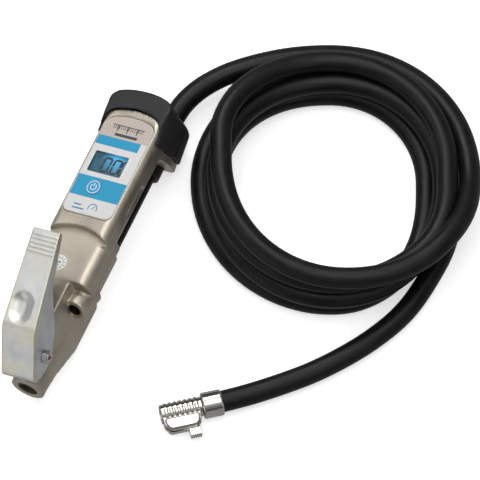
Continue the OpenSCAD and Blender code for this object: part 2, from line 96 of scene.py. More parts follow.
@dataclass(frozen=True)
class Place:
    """A rigid place: where a sub-assembly's own millimetre frame lies on the bench.

    Attributes:
        origin: its origin in the row frame, in metres.
        axes: its three axes as rows, in the row frame.
    """

    origin: Point
    axes: tuple[Point, ...]

    def put(self, points: Array) -> Array:
        """Turns points of the own frame, in mm, into row-frame metres.

        Args:
            points: an array whose last axis is x, y, z in mm.

        Returns:
            The same points in the row frame, in metres.
        """
        return np.asarray(points, float) * MM @ np.array(self.axes) + np.array(self.origin)

    def back(self, points: Array) -> Array:
        """Turns row-frame metres into points of the own frame, in mm.

        Args:
            points: an array whose last axis is x, y, z in metres.

        Returns:
            The same points in the own frame, in mm.
        """
        return (np.asarray(points, float) - np.array(self.origin)) @ np.array(self.axes).T / MM


def tool_place(pivot_y: float = 18.0, pivot_z: float = -15.0) -> Place:
    """Finds the tool's frame from the trigger's pivot, which turns about the tool's -x axis.

    Args:
        pivot_y: the pivot's y in the tool's own frame, in mm.
        pivot_z: the pivot's z in the tool's own frame, in mm.

    Returns:
        The tool's place.
    """
    joint = next(j for j in frame["joints"] if j["name"] == "trigger_pivot")
    across = -np.array(joint["axis"])
    along = np.array((0.0, 1.0, 0.0))
    out = np.cross(across, along)
    axes = np.array((across, along, out))
    origin = np.array(joint["pos_m"]) - np.array((0.0, pivot_y, pivot_z)) * MM @ axes
    return Place(tuple(origin), tuple(map(tuple, axes)))


def connector_place(socket_x: float = 37.7) -> Place:
    """Finds the connector's frame from the mount of its tyre-valve socket.

    Args:
        socket_x: the socket's middle along the connector's own axis, in mm.

    Returns:
        The connector's place.
    """
    mount = next(m for m in frame["record"]["mounts"] if m["name"] == "tyre_valve_socket")
    ahead = np.array(mount["axis"])
    up = np.array((0.0, 0.0, 1.0))
    axes = np.array((ahead, np.cross(up, ahead), up))
    origin = np.array(mount["pos_m"]) - np.array((socket_x, 0.0, 0.0)) * MM @ axes
    return Place(tuple(origin), tuple(map(tuple, axes)))


TOOL = tool_place()
CONNECTOR = connector_place()


# ---------------------------------------------------------------- meshes


def loft(loops: Array, ring: bool = False, capped: bool = True) -> tuple[Array, list]:
    """Skins a stack of closed loops: quads join each loop to the next, point by point.

    Args:
        loops: array of shape (loops, points, 3).
        ring: joins the last loop back to the first, which makes a closed ring.
        capped: closes the first and the last loop with one face each, when not a ring.

    Returns:
        The vertices as (n, 3) and the faces.
    """
    count, size = loops.shape[:2]
    row = np.arange(count if ring else count - 1)[:, None]
    col = np.arange(size)[None, :]
    after, right = (row + 1) % count, (col + 1) % size
    quads = np.stack((row * size + col, row * size + right, after * size + right,
                      after * size + col), axis=-1).reshape(-1, 4)
    faces = quads.tolist()
    if capped and not ring:
        faces.append(np.arange(size)[::-1].tolist())
        faces.append((np.arange(size) + (count - 1) * size).tolist())
    return loops.reshape(-1, 3), faces


def sheet(grid: Array) -> tuple[Array, list]:
    """Skins an open grid of points with quads.

    Args:
        grid: array of shape (rows, columns, 3).

    Returns:
        The vertices as (n, 3) and the faces.
    """
    rows, cols = grid.shape[:2]
    at = np.arange(rows * cols).reshape(rows, cols)
    quads = np.stack((at[:-1, :-1], at[:-1, 1:], at[1:, 1:], at[1:, :-1]), axis=-1)
    return grid.reshape(-1, 3), quads.reshape(-1, 4).tolist()


def join(parts: list[tuple[Array, list]]) -> tuple[Array, list]:
    """Puts several shells into one mesh.

    Args:
        parts: the shells as pairs of vertices and faces.

    Returns:
        All vertices and all faces.
    """
    vertices, faces, start = [], [], 0
    for points, polygons in parts:
        vertices.append(points)
        faces += [[i + start for i in polygon] for polygon in polygons]
        start += len(points)
    return np.concatenate(vertices), faces


def circle(radius: Array, sides: int) -> Array:
    """Points on circles about the origin: radius times cosine and sine of equal steps.

    Args:
        radius: one radius per circle.
        sides: the number of points on each.

    Returns:
        Array of shape (circles, sides, 2).
    """
    turn = np.linspace(0, 2 * math.pi, sides, endpoint=False)
    ray = np.stack((np.cos(turn), np.sin(turn)), axis=-1)
    return np.asarray(radius, float)[:, None, None] * ray[None]


def turned(profile: list[tuple[float, float]], sides: int = 64) -> Array:
    """A turned solid along x: each profile point (x, radius) becomes a circle across x.

    Args:
        profile: points (x, radius) in mm, from one end to the other.
        sides: points round each circle.

    Returns:
        Loops of shape (points, sides, 3) for loft().
    """
    stations = np.array(profile, float)
    rings = circle(stations[:, 1], sides)
    x = np.broadcast_to(stations[:, :1], rings.shape[:2])
    return np.stack((x, rings[..., 0], rings[..., 1]), axis=-1)


def rounded_box(half: tuple[float, float], radius: float, steps: int = 6) -> Array:
    """Outline of a rectangle with round corners: a quarter circle about each inner corner.

    Args:
        half: half of its width and of its height.
        radius: the corners' radius.
        steps: points on each corner.

    Returns:
        Array of shape (4 * steps, 2), counter-clockwise.
    """
    angle = np.linspace(0, math.pi / 2, steps)
    signs = np.array(((1, 1), (-1, 1), (-1, -1), (1, -1)), float)
    centres = signs * (np.array(half) - radius)
    turns = angle[None, :] + np.arange(4)[:, None] * math.pi / 2
    arcs = radius * np.stack((np.cos(turns), np.sin(turns)), axis=-1)
    return (centres[:, None] + arcs).reshape(-1, 2)


def pillow(outline: Array, z0: float, z1: float, edge: float, steps: int = 4) -> Array:
    """A plate with a round upper edge: the outline shrinks on a quarter circle near the top.

    Args:
        outline: closed outline, counter-clockwise, in mm.
        z0: the underside.
        z1: the top.
        edge: radius of the upper edge.
        steps: loops on the round edge.

    Returns:
        Loops of shape (steps + 2, points, 3) for loft().
    """
    along = np.roll(outline, -1, axis=0) - np.roll(outline, 1, axis=0)
    inward = np.stack((-along[:, 1], along[:, 0]), axis=-1)
    inward /= np.linalg.norm(inward, axis=1, keepdims=True)
    angle = np.linspace(0, math.pi / 2, steps + 1)
    inset = np.concatenate(((0.0,), edge * (1 - np.cos(angle))))
    height = np.concatenate(((z0,), z1 - edge + edge * np.sin(angle)))
    flat = outline[None] + inset[:, None, None] * inward[None]
    z = np.broadcast_to(height[:, None, None], flat.shape[:2] + (1,))
    return np.concatenate((flat, z), axis=-1)


def new_piece(name: str, shell: tuple[Array, list], place: Place, body: Body,
              smooth_below: float = 40.0) -> bpy.types.Object:
    """Makes a mesh piece in the row frame, with its own-frame coordinates as an attribute.

    Args:
        name: the piece's name.
        shell: vertices in the place's own mm frame, and faces.
        place: the frame of the vertices.
        body: the body it rides on.
        smooth_below: edges flatter than this angle, in degrees, are shaded smooth.

    Returns:
        The new object, at the origin, riding on its body.
    """
    mesh = bpy.data.meshes.new(name)
    mesh.from_pydata(place.put(shell[0]).tolist(), [], shell[1])
    return finish_piece(name, mesh, place, body, smooth_below)


def finish_piece(name: str, mesh: bpy.types.Mesh, place: Place, body: Body,
                 smooth_below: float) -> bpy.types.Object:
    """Merges doubles, turns faces outwards, shades, and lets the piece ride.

    Args:
        name: the piece's name.
        mesh: its mesh in the row frame.
        place: the frame that the "own" attribute gives, in mm.
        body: the body it rides on.
        smooth_below: edges flatter than this angle, in degrees, are shaded smooth.

    Returns:
        The new object.
    """
    shell = bmesh.new()
    shell.from_mesh(mesh)
    bmesh.ops.remove_doubles(shell, verts=shell.verts, dist=1e-7)
    bmesh.ops.recalc_face_normals(shell, faces=shell.faces)
    shell.to_mesh(mesh)
    shell.free()
    mesh.shade_smooth()
    mesh.set_sharp_from_angle(angle=math.radians(smooth_below))
    points = np.zeros(len(mesh.vertices) * 3, np.float32)
    mesh.vertices.foreach_get("co", points)
    own = mesh.attributes.new("own", "FLOAT_VECTOR", "POINT")
    own.data.foreach_set("vector", place.back(points.reshape(-1, 3)).astype(np.float32).ravel())
    piece = bpy.data.objects.new(name, mesh)
    bpy.context.scene.collection.objects.link(piece)
    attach(piece, body.value)
    log.info("%s: %d faces on %s", name, len(mesh.polygons), body.value)
    return piece


def softened(name: str, node: str, place: Place, body: Body, grain: float,
             passes: int) -> bpy.types.Object:
    """A copy of a model node with its edges melted round, as a casting or moulding has them.

    The copy is merged, rebuilt as an even skin of small quads and smoothed: each pass moves
    every point halfway to the mean of its neighbours.

    Args:
        name: the new piece's name.
        node: the node that it replaces.
        place: the frame of its "own" attribute.
        body: the body it rides on.
        grain: the quads' size, in mm.
        passes: how often it is smoothed.

    Returns:
        The new object, which replaces the node.
    """
    source = frame["nodes"][node].data.copy()
    shell = bmesh.new()
    shell.from_mesh(source)
    bmesh.ops.remove_doubles(shell, verts=shell.verts, dist=1e-6)
    shell.to_mesh(source)
    shell.free()
    draft = bpy.data.objects.new(name + "_draft", source)
    bpy.context.scene.collection.objects.link(draft)
    skin = draft.modifiers.new("skin", "REMESH")
    skin.mode = "VOXEL"
    skin.voxel_size = grain * MM
    melt = draft.modifiers.new("melt", "SMOOTH")
    melt.factor = 0.5
    melt.iterations = passes
    graph = bpy.context.evaluated_depsgraph_get()
    mesh = bpy.data.meshes.new_from_object(draft.evaluated_get(graph))
    mesh.materials.clear()
    bpy.data.objects.remove(draft)
    piece = finish_piece(name, mesh, place, body, 180.0)
    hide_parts(node)
    return piece


@dataclass(frozen=True)
class Spring:
    """A model spring, copied from its node as it stands.

    Attributes:
        node: the model node.
        place: the frame that foot and top are in.
        joint: the joint that presses on it; not used.
        foot: the middle of its fixed end, in mm.
        top: the middle of the end that moves, in mm.
        travel: how far that end should draw back at the joint's limit, in mm, a little more than what presses on
            it moves; not used.
    """

    node: str
    place: Place
    joint: str
    foot: Point
    top: Point
    travel: float

    def build(self, name: str) -> bpy.types.Object:
        """Copies the node as it stands, with a mesh of its own.

        Args:
            name: the new piece's name.

        Returns:
            The new object, which replaces the node.
        """
        mesh = frame["nodes"][self.node].data.copy()
        mesh.materials.clear()
        piece = finish_piece(name, mesh, self.place, Body.TOOL, 50.0)
        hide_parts(self.node)
        foot, top = self.place.put(np.array((self.foot, self.top)))
        height = float(np.linalg.norm(top - foot)) / MM
        1 - self.travel / height
        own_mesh(piece)
        return piece


# ---------------------------------------------------------------- shader maths


class Value:
    """A shader socket, or a plain number, that Python's operators can combine."""

    def __init__(self, ink: "Ink", socket: object) -> None:
        """Wraps a socket.

        Args:
            ink: the node tree's writer.
            socket: an output socket or a number.
        """
        self.ink = ink
        self.socket = socket

    def _math(self, operation: str, *others: object) -> "Value":
        """Adds one Math node.

        Args:
            operation: the Math node's operation.
            others: its second and third operand.

        Returns:
            The node's result.
        """
        return self.ink.node("ShaderNodeMath", {"operation": operation},
                             dict(enumerate((self, *others))))

    def __add__(self, other: object) -> "Value":
        """self + other."""
        return self._math("ADD", other)

    __radd__ = __add__

    def __sub__(self, other: object) -> "Value":
        """self - other."""
        return self._math("SUBTRACT", other)

    def __rsub__(self, other: object) -> "Value":
        """other - self."""
        return Value(self.ink, other)._math("SUBTRACT", self)

    def __mul__(self, other: object) -> "Value":
        """self * other."""
        return self._math("MULTIPLY", other)

    __rmul__ = __mul__

    def __truediv__(self, other: object) -> "Value":
        """self / other."""
        return self._math("DIVIDE", other)

    def __abs__(self) -> "Value":
        """The distance from zero."""
        return self._math("ABSOLUTE")

    def below(self, edge: object, blur: float) -> "Value":
        """1 where self is under edge, 0 above it, with a soft step of the blur's width.

        Args:
            edge: where the step is.
            blur: how wide it is.

        Returns:
            The mask.
        """
        return ((edge - self) / blur + 0.5).clamp()

    def clamp(self) -> "Value":
        """self, held between 0 and 1."""
        return self.ink.node("ShaderNodeClamp", {}, {0: self, 1: 0.0, 2: 1.0})

    def power(self, exponent: float) -> "Value":
        """self to a power."""
        return self._math("POWER", exponent)

    def both(self, other: "Value") -> "Value":
        """The smaller of two masks."""
        return self._math("MINIMUM", other)

    def either(self, other: "Value") -> "Value":
        """The larger of two masks."""
        return self._math("MAXIMUM", other)

    def angle(self, across: "Value") -> "Value":
        """The angle, in radians, whose tangent is self over across."""
        return self._math("ARCTAN2", across)

    def fraction(self) -> "Value":
        """What is left of self above the next lower whole number."""
        return self._math("FRACT")


Colour = tuple[float, float, float]


class Ink:
    """Writes one material's node tree."""

    def __init__(self, name: str) -> None:
        """Starts an empty material.

        Args:
            name: the material's name.
        """
        self.material = bpy.data.materials.new(name)
        self.material.use_nodes = True
        self.tree = self.material.node_tree
        self.tree.nodes.clear()

    def node(self, kind: str, settings: dict, inputs: dict, output: object = 0) -> Value:
        """Adds one node.

        Args:
            kind: the node's type.
            settings: its properties, set first.
            inputs: values or links of its sockets, by name or number.
            output: the wanted output, by name or number.

        Returns:
            The wanted output.
        """
        made = self.tree.nodes.new(kind)
        for key, setting in settings.items():
            setattr(made, key, setting)
        for key, given in inputs.items():
            plug = made.inputs[key]
            given = given.socket if isinstance(given, Value) else given
            if isinstance(given, bpy.types.NodeSocket):
                self.tree.links.new(given, plug)
            elif plug.type == "RGBA" and len(given) == 3:
                plug.default_value = (*given, 1.0)
            else:
                plug.default_value = given
        return Value(self, made.outputs[output])

    def own(self) -> Value:
        """The piece's own-frame coordinates in mm."""
        return self.node("ShaderNodeAttribute", {"attribute_name": "own"}, {}, "Vector")

    def here(self) -> Value:
        """Object coordinates, in metres."""
        return self.node("ShaderNodeTexCoord", {}, {}, "Object")

    def axes(self, vector: Value) -> tuple[Value, Value, Value]:
        """Splits a vector into its three numbers."""
        first = self.node("ShaderNodeSeparateXYZ", {}, {0: vector}, 0)
        outputs = first.socket.node.outputs
        return first, Value(self, outputs[1]), Value(self, outputs[2])

    def noise(self, vector: Value, scale: float, detail: float = 3.0,
              rough: float = 0.5) -> Value:
        """Noise between about 0.3 and 0.7.

        Args:
            vector: where to read it.
            scale: waves per unit.
            detail: the number of finer layers.
            rough: how strong the finer layers are.

        Returns:
            The noise's factor.
        """
        return self.node("ShaderNodeTexNoise", {}, {"Vector": vector, "Scale": scale,
                         "Detail": detail, "Roughness": rough}, 0)

    def stretched(self, vector: Value, scale: tuple[float, float, float]) -> Value:
        """The vector with each axis scaled."""
        return self.node("ShaderNodeMapping", {}, {"Vector": vector, "Scale": scale})

    def ramp(self, factor: Value, low: float, high: float) -> Value:
        """Stretches factor so that low becomes 0 and high becomes 1, clamped."""
        return ((factor - low) / (high - low)).clamp()

    def mix(self, factor: object, first: object, second: object) -> Value:
        """Colour between first (factor 0) and second (factor 1)."""
        made = self.node("ShaderNodeMix", {"data_type": "RGBA"}, {0: factor}, 2)
        for plug, given in ((made.socket.node.inputs[6], first),
                            (made.socket.node.inputs[7], second)):
            if isinstance(given, Value):
                self.tree.links.new(given.socket, plug)
            else:
                plug.default_value = (*given, 1.0)
        return made

    def bump(self, height: Value, distance: float, strength: float = 1.0) -> Value:
        """A normal from a height.

        Args:
            height: the height, 0 to 1.
            distance: what a height of 1 is, in metres.
            strength: how much of it shows.

        Returns:
            The bent normal.
        """
        return self.node("ShaderNodeBump", {}, {"Height": height, "Distance": distance,
                                                "Strength": strength})

    def surface(self, **sockets: object) -> bpy.types.Material:
        """Ends the tree with a Principled shader.

        Args:
            sockets: its sockets, with underscores for the spaces in their names.

        Returns:
            The finished material.
        """
        plugs = {key.replace("_", " "): given for key, given in sockets.items()}
        shader = self.node("ShaderNodeBsdfPrincipled", {}, plugs)
        self.node_out(shader)
        return self.material

    def node_out(self, shader: Value) -> None:
        """Links a shader to the material's output."""
        out = self.tree.nodes.new("ShaderNodeOutputMaterial")
        self.tree.links.new(shader.socket, out.inputs["Surface"])


def distance(across: Value, along: Value) -> Value:
    """The distance from the point that across and along are measured from."""
    return (across * across + along * along).power(0.5)


# ---------------------------------------------------------------- finishes


@dataclass(frozen=True)
class CastMetal:
    """Die-cast alloy under thin lacquer: fine grain, soft tone changes, a few rubbed spots."""

    light: Colour = (0.56, 0.50, 0.415)
    dark: Colour = (0.41, 0.365, 0.305)
    grain: float = 900.0

    def material(self) -> bpy.types.Material:
        """Builds the material."""
        ink = Ink("cast_metal")
        here = ink.here()
        cloud = ink.ramp(ink.noise(here, 45.0, 4.0), 0.35, 0.68)
        fine = ink.noise(here, self.grain, 3.0, 0.6)
        pits = ink.ramp(ink.noise(here, 2600.0, 2.0), 0.30, 0.42)
        colour = ink.mix(cloud, self.dark, self.light)
        colour = ink.mix(ink.ramp(fine, 0.35, 0.7) * 0.25, colour, (0.72, 0.66, 0.56))
        normal = ink.bump(fine * 0.7 + pits * 0.3, 0.00010, 0.8)
        return ink.surface(Base_Color=colour, Metallic=0.85,
                           Roughness=0.36 + 0.14 * cloud + 0.06 * fine, Normal=normal)


@dataclass(frozen=True)
class Rubber:
    """Black or charcoal rubber with a fine moulded grain.

    Attributes:
        name: the material's name.
        tone: its colour.
        gloss: its roughness.
        grain: waves of the grain per metre.
        depth: depth of the grain, in metres.
        shine: how strongly it mirrors.
    """

    name: str
    tone: Colour
    gloss: float
    grain: float
    depth: float
    shine: float = 0.5

    def material(self) -> bpy.types.Material:
        """Builds the material."""
        ink = Ink(self.name)
        here = ink.here()
        fine = ink.noise(here, self.grain, 3.0, 0.6)
        dust = ink.ramp(ink.noise(here, 60.0, 5.0, 0.65), 0.42, 0.72)
        lighter = tuple(min(1.0, c * 1.5 + 0.006) for c in self.tone)
        colour = ink.mix(dust * 0.6, self.tone, lighter)
        return ink.surface(Base_Color=colour, Roughness=self.gloss + 0.1 * dust + 0.05 * fine,
                           Specular_IOR_Level=self.shine,
                           Normal=ink.bump(fine, self.depth, 0.7))


@dataclass(frozen=True)
class Plate:
    """Bright plated metal: chrome, nickel or plain steel, with light smudges and scratches."""

    name: str
    tone: Colour
    gloss: float
    smudge: float = 0.08

    def material(self) -> bpy.types.Material:
        """Builds the material."""
        ink = Ink(self.name)
        here = ink.here()
        smear = ink.ramp(ink.noise(here, 140.0, 4.0, 0.6), 0.4, 0.7)
        fine = ink.noise(here, 3000.0, 2.0)
        dull = tuple(c * 0.84 for c in self.tone)
        return ink.surface(Base_Color=ink.mix(smear * 0.6, self.tone, dull), Metallic=1.0,
                           Roughness=self.gloss + self.smudge * smear + 0.05 * fine,
                           Normal=ink.bump(fine, 0.000002, 0.25))


@dataclass(frozen=True)
class ZincPlate:
    """Passivated zinc on pressed steel: blue-white clouds, straw tints, rubbed scratches and a painted highlight
    along the folds.

    Attributes:
        blue: the darker tone of the clouds.
        white: their lighter tone.
        straw: the tone of the tinted patches.
        fold_highlight: the light straw tone of the painted highlight along the folds.
        half_width: half of the trigger's width at its foot, in mm.
        taper: where the trigger starts to narrow, in mm along the tool, and by how much per mm.
        highlight_band: where the painted highlight along the folds starts and ends inside the edge, in mm.
    """

    blue: Colour = (0.60, 0.625, 0.645)
    white: Colour = (0.82, 0.825, 0.81)
    straw: Colour = (0.76, 0.72, 0.58)
    fold_highlight: Colour = (0.80, 0.73, 0.53)
    half_width: float = 13.0
    taper: tuple[float, float] = (22.5, 0.0382)
    highlight_band: tuple[float, float] = (0.12, 1.9)

    def material(self) -> bpy.types.Material:
        """Builds the material."""
        ink = Ink("zinc_plate")
        own = ink.own()
        cloud = ink.ramp(ink.noise(own, 0.07, 4.0, 0.55), 0.34, 0.66)
        patch = ink.ramp(ink.noise(own, 0.05, 3.0), 0.48, 0.70)
        flow = ink.noise(ink.stretched(own, (0.5, 0.06, 0.5)), 1.0, 3.0, 0.5)
        scratch = ink.ramp(ink.noise(ink.stretched(own, (2.6, 0.10, 0.5)), 1.0, 2.0), 0.63, 0.70)
        fine = ink.noise(own, 2.2, 2.0, 0.5)
        colour = ink.mix(cloud, self.blue, self.white)
        colour = ink.mix(patch * 0.6, colour, self.straw)
        colour = ink.mix(scratch * 0.35, colour, (0.88, 0.88, 0.87))
        # A painted highlight along the folds, in the plating's straw tone: a light band just inside the trigger's
        # edges
        x, y, _ = ink.axes(own)
        out = abs(x) + (y - self.taper[0]) * self.taper[1] * (1 - y.below(self.taper[0], 0.5))
        outer, inner = (self.half_width - inset for inset in self.highlight_band)
        highlight_band = out.below(outer, 0.1).both(1 - out.below(inner, 0.8))
        colour = ink.mix(highlight_band * 0.55, colour, self.fold_highlight)
        rough = 0.36 + 0.12 * cloud + 0.06 * flow - 0.04 * scratch
        normal = ink.bump(fine * 0.3 + flow * 0.7, 0.00005, 0.5)
        return ink.surface(Base_Color=colour, Metallic=1.0, Roughness=rough, Normal=normal)


@dataclass(frozen=True)
class Moulded:
    """Moulded plastic or board with a faint texture."""

    name: str
    tone: Colour
    gloss: float = 0.5
    coat: float = 0.0

    def material(self) -> bpy.types.Material:
        """Builds the material."""
        ink = Ink(self.name)
        here = ink.here()
        fine = ink.noise(here, 1500.0, 2.0, 0.6)
        cloud = ink.noise(here, 70.0, 3.0)
        darker = tuple(c * 0.82 for c in self.tone)
        return ink.surface(Base_Color=ink.mix(cloud, darker, self.tone),
                           Roughness=self.gloss + 0.08 * fine, Coat_Weight=self.coat,
                           Normal=ink.bump(fine, 0.00004, 0.6))


@dataclass(frozen=True)
class PrintedLabel:
    """The gauge's film label: silver ground, two blue bands, a tick scale, bars and a dial mark.

    Positions are mm in the tool's own frame: x across, y along.
    """

    silver: Colour = (0.72, 0.715, 0.71)
    rose: Colour = (0.55, 0.475, 0.425)
    blue: Colour = (0.022, 0.33, 0.56)
    ink_tone: Colour = (0.06, 0.06, 0.08)
    upper_band: tuple[float, float] = (168.4, 175.2)
    lower_band: tuple[float, float] = (129.0, 144.4)
    edge: float = 0.12

    def between(self, value: Value, low: float, high: float) -> Value:
        """1 where value lies between two edges."""
        return value.below(high, self.edge).both(1 - value.below(low, self.edge))

    def material(self) -> bpy.types.Material:
        """Builds the material."""
        ink = Ink("printed_label")
        own = ink.own()
        x, y, _ = ink.axes(own)
        top = 1 - y.below(self.upper_band[1], self.edge)
        colour = ink.mix(top, self.silver, self.rose)
        band = self.between(y, *self.upper_band).both(x.below(14.5, self.edge))
        band = band.either(self.between(y, *self.lower_band))
        colour = ink.mix(band, colour, self.blue)
        # A pressure scale's ticks: short ones, and every fifth one long
        step = abs((x / 1.5).fraction() - 0.5)
        long_step = abs((x / 7.5 + 0.5).fraction() - 0.5)
        short = step.below(0.16, 0.05).both(self.between(y, 182.0, 184.6))
        tall = long_step.below(0.05, 0.012).both(self.between(y, 180.2, 184.6))
        ruler = short.either(tall).both(abs(x).below(12.4, self.edge))
        ruler = ruler.either(self.between(y, 184.6, 185.2).both(abs(x).below(12.4, self.edge)))
        bar = self.between(y, 176.9, 178.9).both(self.between(x, -8.0, 9.5))
        colour = ink.mix(ruler.either(bar), colour, self.ink_tone)
        # A small dial mark at the foot: an open ring and its needle
        dx, dy = x - 3.0, y - 122.0
        reach = distance(dx, dy)
        dial = self.between(reach, 2.9, 3.6).both(1 - (dy + 1.4).below(0.0, self.edge))
        needle = abs(dx * 0.8 - dy * 0.6).below(0.35, 0.1).both(reach.below(2.3, self.edge))
        lines = self.between(x, -12.0, -3.0).both(self.between(y, 119.4, 120.4))
        lines = lines.either(self.between(x, -12.0, -6.0).both(self.between(y, 122.2, 123.2)))
        colour = ink.mix(dial.either(needle.both(1 - (dy + 0.4).below(0.0, 0.1))).either(lines),
                         colour, (0.03, 0.25, 0.50))
        grain = ink.noise(own, 6.0, 2.0)
        wear = ink.ramp(ink.noise(own, 0.35, 5.0, 0.7), 0.62, 0.74)
        colour = ink.mix(wear * 0.25, colour, (0.86, 0.86, 0.86))
        return ink.surface(Base_Color=colour, Roughness=0.30 + 0.12 * grain + 0.1 * wear,
                           Metallic=0.15, Coat_Weight=0.25, Normal=ink.bump(grain, 0.00003, 0.4))


@dataclass(frozen=True)
class Display:
    """A blue liquid-crystal face: lighter towards its lamp, teal at the far corners."""

    lit: Colour = (0.05, 0.46, 0.82)
    deep: Colour = (0.008, 0.060, 0.10)
    glow: float = 0.30
    lamp: tuple[float, float] = (1.5, 163.5)

    def material(self) -> bpy.types.Material:
        """Builds the material."""
        ink = Ink("display_face")
        own = ink.own()
        x, y, _ = ink.axes(own)
        dx, dy = (x - self.lamp[0]) / 11.5, (y - self.lamp[1]) / 14.5
        away = distance(dx, dy).clamp()
        fine = ink.noise(own, 9.0, 1.0)
        colour = ink.mix(away, self.lit, self.deep)
        colour = ink.mix(fine * 0.15, colour, (0.05, 0.30, 0.45))
        return ink.surface(Base_Color=colour, Roughness=0.35, Emission_Color=colour,
                           Emission_Strength=self.glow)


@dataclass(frozen=True)
class ClearWindow:
    """A thin clear pane: nearly all see-through, with a gloss that a little dust breaks."""

    alpha: float = 0.02

    def material(self) -> bpy.types.Material:
        """Builds the material."""
        ink = Ink("clear_window")
        dust = ink.ramp(ink.noise(ink.own(), 0.6, 4.0), 0.45, 0.75)
        return ink.surface(Base_Color=(0.55, 0.70, 0.80), Roughness=0.05 + 0.12 * dust,
                           Specular_IOR_Level=0.12, Alpha=self.alpha + 0.03 * dust)


@dataclass(frozen=True)
class StickerPaper:
    """A round white date sticker: a ring, a cross and a wheel of short ticks, no words."""

    centre: tuple[float, float] = (-5.0, 81.0)
    ticks: int = 12

    def material(self) -> bpy.types.Material:
        """Builds the material."""
        ink = Ink("date_sticker")
        own = ink.own()
        x, y, _ = ink.axes(own)
        dx, dy = x - self.centre[0], y - self.centre[1]
        reach = distance(dx, dy)
        turn = dy.angle(dx) * (self.ticks / (2 * math.pi))
        ticks = abs(turn.fraction() - 0.5).below(0.10, 0.05)
        ticks = ticks.both(reach.below(5.2, 0.1)).both(1 - reach.below(3.9, 0.1))
        ring = abs(reach - 3.5).below(0.14, 0.08)
        block = abs(dx).below(1.7, 0.1).both(abs(dy - 0.6).below(0.55, 0.1))
        block = block.either(abs(dx).below(1.2, 0.1).both(abs(dy + 1.2).below(0.35, 0.1)))
        fibre = ink.noise(own, 4.0, 4.0, 0.7)
        paper = ink.mix(fibre, (0.78, 0.77, 0.73), (0.92, 0.92, 0.90))
        colour = ink.mix(ticks.either(ring).either(block) * 0.9, paper, (0.03, 0.03, 0.03))
        return ink.surface(Base_Color=colour, Roughness=0.55 + 0.1 * fibre,
                           Normal=ink.bump(fibre, 0.00003, 0.5))


@dataclass(frozen=True)
class Flat:
    """A printed or lit mark of one tone with a slight mottle."""

    name: str
    tone: Colour
    gloss: float = 0.4

    def material(self) -> bpy.types.Material:
        """Builds the material."""
        ink = Ink(self.name)
        fine = ink.noise(ink.here(), 900.0, 2.0)
        shade = tuple(c * 0.88 for c in self.tone)
        return ink.surface(Base_Color=ink.mix(fine, shade, self.tone),
                           Roughness=self.gloss + 0.08 * fine)


class Finishes:
    """All finishes of the tool, built once."""

    def __init__(self) -> None:
        """Builds each finish's material."""
        self.cast = CastMetal().material()
        self.cap = Rubber("cap_rubber", (0.022, 0.022, 0.024), 0.50, 1300.0, 0.00006,
                          0.35).material()
        self.hose = Rubber("hose_rubber", (0.005, 0.005, 0.0053), 0.36, 1900.0, 0.00002,
                           0.24).material()
        self.black = Rubber("seal_rubber", (0.010, 0.010, 0.010), 0.42, 1500.0, 0.00003).material()
        self.zinc = ZincPlate().material()
        self.chrome = Plate("chrome_plate", (0.56, 0.545, 0.51), 0.09, 0.05).material()
        self.satin = Plate("satin_plate", (0.66, 0.65, 0.61), 0.26, 0.10).material()
        self.steel = Plate("bright_steel", (0.62, 0.62, 0.63), 0.20, 0.12).material()
        self.brass = Plate("turned_brass", (0.72, 0.50, 0.20), 0.22, 0.12).material()
        # A dark finish for the inlet thread, which also paints the shade round the cheeks and in the exhaust bore
        self.oxide_and_shade = Plate("dark_oxide_and_shade", (0.12, 0.09, 0.07), 0.38, 0.15).material()
        self.sinter = Moulded("sintered_bronze", (0.10, 0.035, 0.02), 0.6).material()
        self.panel = Moulded("panel_plastic", (0.78, 0.78, 0.77), 0.36, 0.2).material()
        self.black_plastic = Moulded("black_plastic", (0.035, 0.035, 0.038), 0.45).material()
        self.board = Moulded("circuit_board", (0.03, 0.20, 0.08), 0.40, 0.3).material()
        self.sleeve = Moulded("cell_sleeve", (0.05, 0.12, 0.30), 0.30, 0.4).material()
        self.key = Moulded("key_plastic", (0.035, 0.36, 0.66), 0.35, 0.2).material()
        self.white = Flat("white_print", (0.88, 0.89, 0.90)).material()
        self.segment = Flat("segment_ink", (0.006, 0.012, 0.03), 0.3).material()
        self.seal_paint = Flat("seal_paint", (0.25, 0.02, 0.02), 0.5).material()
        self.label = PrintedLabel().material()
        self.display = Display().material()
        self.window = ClearWindow().material()
        self.paper = StickerPaper().material()


def dress(piece: bpy.types.Object, material: bpy.types.Material) -> bpy.types.Object:
    """Gives every face of a piece one material.

    Args:
        piece: a new piece or a model node.
        material: its finish.

    Returns:
        The piece.
    """
    if len(piece.data.materials):
        for number in range(len(piece.data.materials)):
            piece.data.materials[number] = material
    else:
        piece.data.materials.append(material)
    return piece


# ---------------------------------------------------------------- camera, light, bench


